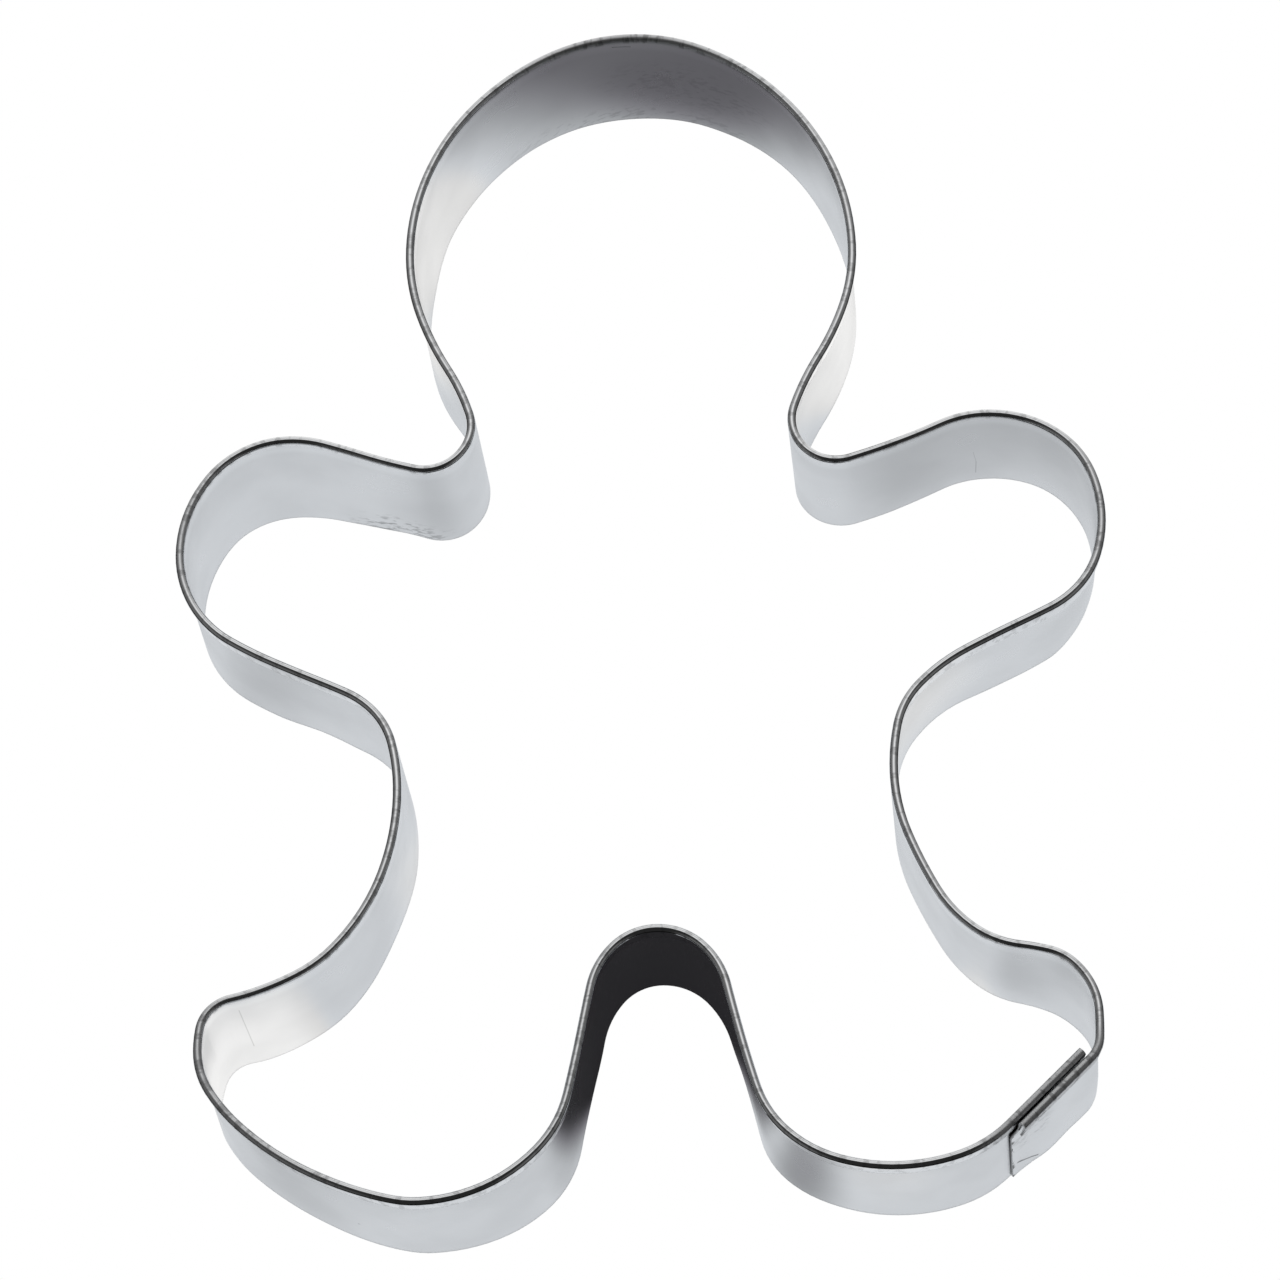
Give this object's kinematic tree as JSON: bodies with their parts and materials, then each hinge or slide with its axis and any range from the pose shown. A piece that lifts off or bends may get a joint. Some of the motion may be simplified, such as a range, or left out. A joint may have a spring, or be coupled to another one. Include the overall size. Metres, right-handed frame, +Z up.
{
  "type": "cookie cutter",
  "caption": "Gingerbread-figure cookie cutter: a hemmed tinplate strip bent to the outline of a figure and spot-welded where its ends lap at one foot.",
  "frame": {"origin": "centre of the outline on the plane that the cutting edge rests on", "axes": "+Y from the feet to the head, +X to the side of the foot that has the lap, +Z up from the cutting edge to the hemmed rim"},
  "size_m": [0.111, 0.151, 0.019],
  "materials": {
    "tinplate": "bright cold-rolled tinplate, lightly rubbed",
    "weld": "pressed, slightly greyed spot weld"
  },
  "bodies": {
    "root": {"cutter_band": "tinplate", "spot_welds": "weld"}
  },
  "joints": []
}
